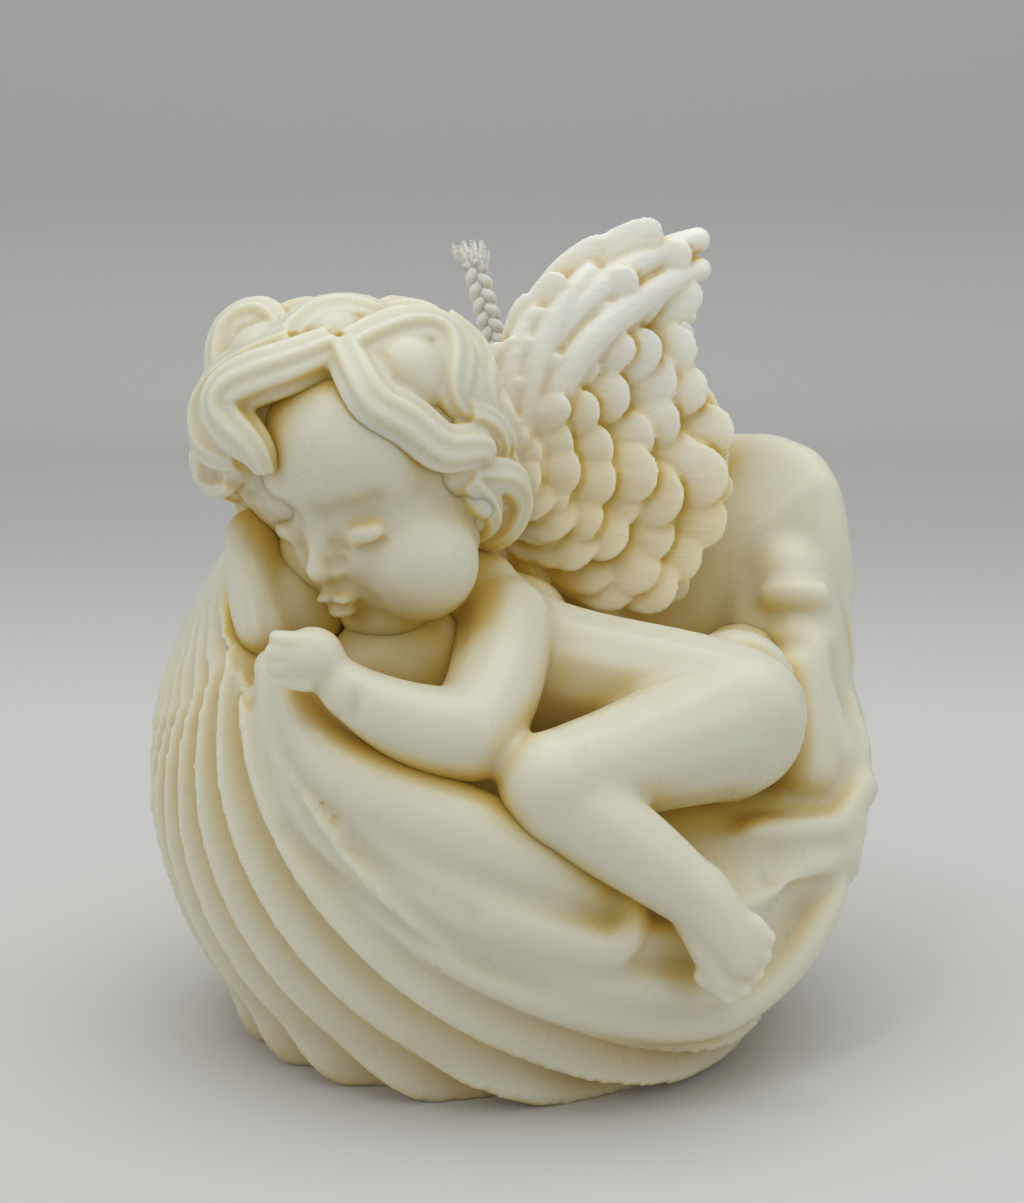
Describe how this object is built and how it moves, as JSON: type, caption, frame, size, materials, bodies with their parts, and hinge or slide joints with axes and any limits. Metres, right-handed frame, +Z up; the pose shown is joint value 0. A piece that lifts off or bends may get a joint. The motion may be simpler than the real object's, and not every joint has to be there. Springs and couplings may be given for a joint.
{
  "type": "sleeping angel figurine candle",
  "caption": "Cast-wax candle shaped as a winged cherub asleep on its front in the mouth of a ribbed shell, with a braided wick.",
  "frame": {"origin": "centre of the flat underside, on the surface the casting stands on", "axes": "+Z up, -Y the front with the face, near arm and near leg, head towards -X"},
  "size_m": [0.0808, 0.0815, 0.0885],
  "materials": {
    "wax": "satin ivory cast wax",
    "wick": "braided waxed cotton"
  },
  "bodies": {
    "root": {"drape_folds": "wax", "hair": "wax", "head": "wax", "left_calf": "wax", "left_foot": "wax", "left_forearm": "wax", "left_hand": "wax", "left_thigh": "wax", "left_upper_arm": "wax", "left_wing": "wax", "neck": "wax", "right_calf": "wax", "right_forearm": "wax", "right_hand": "wax", "right_thigh": "wax", "right_wing": "wax", "shell_body": "wax", "shell_lip": "wax", "shell_ribs": "wax", "torso": "wax", "wick": "wick"}
  },
  "joints": []
}
